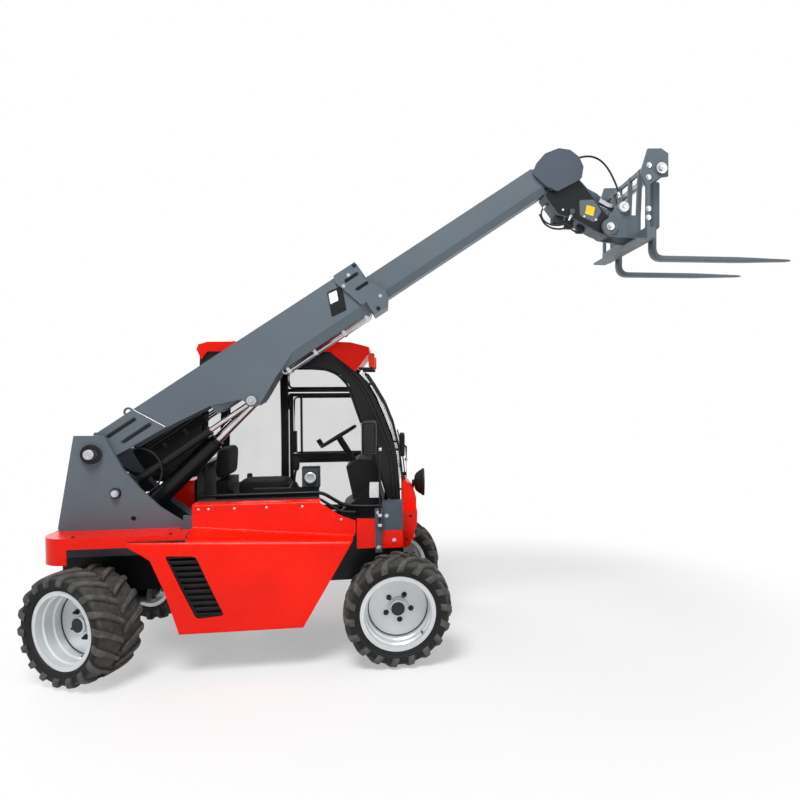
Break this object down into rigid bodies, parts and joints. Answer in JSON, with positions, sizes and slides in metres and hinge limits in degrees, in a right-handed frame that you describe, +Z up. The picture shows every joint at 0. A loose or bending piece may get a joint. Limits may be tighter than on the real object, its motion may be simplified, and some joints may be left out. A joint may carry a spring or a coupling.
{
  "type": "compact telehandler",
  "caption": "Compact wheeled telescopic handler with an offset cab, a raised telescopic boom and a fork carriage; wheels, steering, boom, forks, door and cover move.",
  "frame": {"origin": "on the ground under the middle of the bounding box", "axes": "+X forward, +Y to the machine's left, +Z up"},
  "size_m": [5.0803, 1.7346, 3.4016],
  "materials": {
    "tyre_rubber": "matt",
    "silver_paint": "satin",
    "black_steel": "satin",
    "cast_iron": "painted",
    "red_paint": "gloss",
    "grey_paint": "satin",
    "polished_steel": "polished",
    "black_plastic": "matt",
    "window_glass": "clear",
    "seat_cloth": "woven",
    "hose_rubber": "matt",
    "lamp_lens": "gloss"
  },
  "bodies": {
    "chassis": {"boom_pedestal": "grey_paint", "cab_floor": "red_paint", "cab_frame": "black_steel", "cab_glass": "window_glass", "cab_roof": "red_paint", "chassis_frame": "black_steel", "console": "black_plastic", "corner_bracket": "grey_paint", "counterweight": "cast_iron", "engine_bay": "black_steel", "engine_block": "cast_iron", "front_axle": "black_steel", "front_corner": "red_paint", "front_guard": "black_steel", "lamps": "lamp_lens", "level_hose": "hose_rubber", "lift_hose": "hose_rubber", "mirrors": "black_plastic", "nose_panel": "red_paint", "rear_axle": "black_steel", "seat": "seat_cloth", "seat_base": "black_plastic", "side_tank": "red_paint", "tail_cover": "red_paint", "tow_hitch": "black_steel"},
    "engine_cover": {"engine_cover": "red_paint", "engine_grille": "black_plastic", "cover_seal": "hose_rubber"},
    "cab_door": {"cab_door": "black_steel", "door_glass": "window_glass"},
    "steering_wheel": {"steering_wheel": "black_plastic"},
    "outer_boom": {"outer_boom": "grey_paint", "boom_collar": "grey_paint", "boom_pipes": "black_steel"},
    "inner_boom": {"inner_boom": "grey_paint", "boom_head": "black_steel", "head_hose": "hose_rubber", "neck_hose": "hose_rubber"},
    "fork_carriage": {"fork_carriage": "grey_paint", "fork_shaft": "polished_steel", "fork_right": "grey_paint", "fork_left": "grey_paint"},
    "lift_barrel": {"lift_barrel": "black_steel"},
    "lift_rod": {"lift_rod": "polished_steel"},
    "level_barrel": {"level_barrel": "black_steel"},
    "level_rod": {"level_rod": "polished_steel"},
    "tilt_barrel": {"tilt_barrel": "black_steel"},
    "tilt_rod": {"tilt_rod": "polished_steel"},
    "front_right_knuckle": {"front_right_knuckle": "black_steel"},
    "front_right_wheel": {"front_right_tyre": "tyre_rubber", "front_right_rim": "silver_paint"},
    "front_left_knuckle": {"front_left_knuckle": "black_steel"},
    "front_left_wheel": {"front_left_tyre": "tyre_rubber", "front_left_rim": "silver_paint"},
    "rear_right_knuckle": {"rear_right_knuckle": "black_steel"},
    "rear_right_wheel": {"rear_right_tyre": "tyre_rubber", "rear_right_rim": "silver_paint"},
    "rear_left_knuckle": {"rear_left_knuckle": "black_steel"},
    "rear_left_wheel": {"rear_left_tyre": "tyre_rubber", "rear_left_rim": "silver_paint"}
  },
  "joints": [
    {"name": "front_right_steering", "type": "hinge", "parent": "chassis", "child": "front_right_knuckle", "pos_m": [-0.33, -0.504, 0.3405], "axis": [0, 0, 1], "range_deg": [-30, 30]},
    {"name": "front_right_wheel", "type": "hinge", "parent": "front_right_knuckle", "child": "front_right_wheel", "pos_m": [-0.33, -0.598, 0.3405], "axis": [0, 1, 0], "continuous": true},
    {"name": "front_left_steering", "type": "hinge", "parent": "chassis", "child": "front_left_knuckle", "pos_m": [-0.33, 0.504, 0.3405], "axis": [0, 0, 1], "range_deg": [-30, 30]},
    {"name": "front_left_wheel", "type": "hinge", "parent": "front_left_knuckle", "child": "front_left_wheel", "pos_m": [-0.33, 0.598, 0.3405], "axis": [0, 1, 0], "continuous": true},
    {"name": "rear_right_steering", "type": "hinge", "parent": "chassis", "child": "rear_right_knuckle", "pos_m": [-2.156, -0.504, 0.3405], "axis": [0, 0, 1], "range_deg": [-1.8, 58.2]},
    {"name": "rear_right_wheel", "type": "hinge", "parent": "rear_right_knuckle", "child": "rear_right_wheel", "pos_m": [-2.20042, -0.58684, 0.3405], "axis": [0.4726, 0.8813, 0], "continuous": true},
    {"name": "rear_left_steering", "type": "hinge", "parent": "chassis", "child": "rear_left_knuckle", "pos_m": [-2.156, 0.504, 0.3405], "axis": [0, 0, 1], "range_deg": [-1.8, 58.2]},
    {"name": "rear_left_wheel", "type": "hinge", "parent": "rear_left_knuckle", "child": "rear_left_wheel", "pos_m": [-2.11158, 0.58684, 0.3405], "axis": [0.4726, 0.8813, 0], "continuous": true},
    {"name": "engine_cover", "type": "hinge", "parent": "chassis", "child": "engine_cover", "pos_m": [-1.2, -0.357, 1], "axis": [-1, 0, 0], "range_deg": [0, 60]},
    {"name": "cab_door", "type": "hinge", "parent": "chassis", "child": "cab_door", "pos_m": [-1.163, 0.684, 1.3], "axis": [0, 0, 1], "range_deg": [0, 95]},
    {"name": "steering_wheel", "type": "hinge", "parent": "chassis", "child": "steering_wheel", "pos_m": [-0.758, 0.33, 1.374], "axis": [-0.5182, 0, 0.8553], "continuous": true},
    {"name": "boom_lift", "type": "hinge", "parent": "chassis", "child": "outer_boom", "pos_m": [-2.213, -0.2, 1.336], "axis": [0, -1, 0], "range_deg": [-39.4, 25.6], "deforming": ["lift_hose"]},
    {"name": "boom_extend", "type": "slide", "parent": "outer_boom", "child": "inner_boom", "axis": [0.8251, 0, 0.565], "range_m": [-1.2, 0.15]},
    {"name": "carriage_tilt", "type": "hinge", "parent": "inner_boom", "child": "fork_carriage", "pos_m": [1.171, -0.2, 2.874], "axis": [0, 1, 0], "range_deg": [-42, 55], "deforming": ["head_hose"]},
    {"name": "lift_barrel", "type": "hinge", "parent": "chassis", "child": "lift_barrel", "pos_m": [-1.977, -0.148, 0.923], "axis": [0, -1, 0], "range_deg": [-39.2, 25.5]},
    {"name": "lift_rod", "type": "slide", "parent": "lift_barrel", "child": "lift_rod", "axis": [0.6952, 0, 0.7189], "range_m": [-0.317, 0.2061]},
    {"name": "level_barrel", "type": "hinge", "parent": "chassis", "child": "level_barrel", "pos_m": [-2.079, -0.25, 1.086], "axis": [0, -1, 0], "range_deg": [-41.1, 26.7]},
    {"name": "level_rod", "type": "slide", "parent": "level_barrel", "child": "level_rod", "axis": [0.8171, 0, 0.5765], "range_m": [-0.1896, 0.1233]},
    {"name": "tilt_barrel", "type": "hinge", "parent": "inner_boom", "child": "tilt_barrel", "pos_m": [0.8, -0.2, 3.232], "axis": [0, -1, 0], "range_deg": [-4.6, 3.5]},
    {"name": "tilt_rod", "type": "slide", "parent": "tilt_barrel", "child": "tilt_rod", "axis": [0.9064, 0, -0.4224], "range_m": [-0.1123, 0.1469]}
  ],
  "couplings": [
    {"joint": "front_left_steering", "follows": "front_right_steering", "ratio": 1},
    {"joint": "rear_left_steering", "follows": "rear_right_steering", "ratio": 1},
    {"joint": "lift_barrel", "follows": "boom_lift", "ratio": 0.9949},
    {"joint": "lift_rod", "follows": "boom_lift", "m_per_rad": 0.46019},
    {"joint": "level_barrel", "follows": "boom_lift", "ratio": 1.0429},
    {"joint": "level_rod", "follows": "boom_lift", "m_per_rad": 0.27493},
    {"joint": "tilt_barrel", "follows": "carriage_tilt", "ratio": -0.0824},
    {"joint": "tilt_rod", "follows": "carriage_tilt", "m_per_rad": 0.15256}
  ]
}
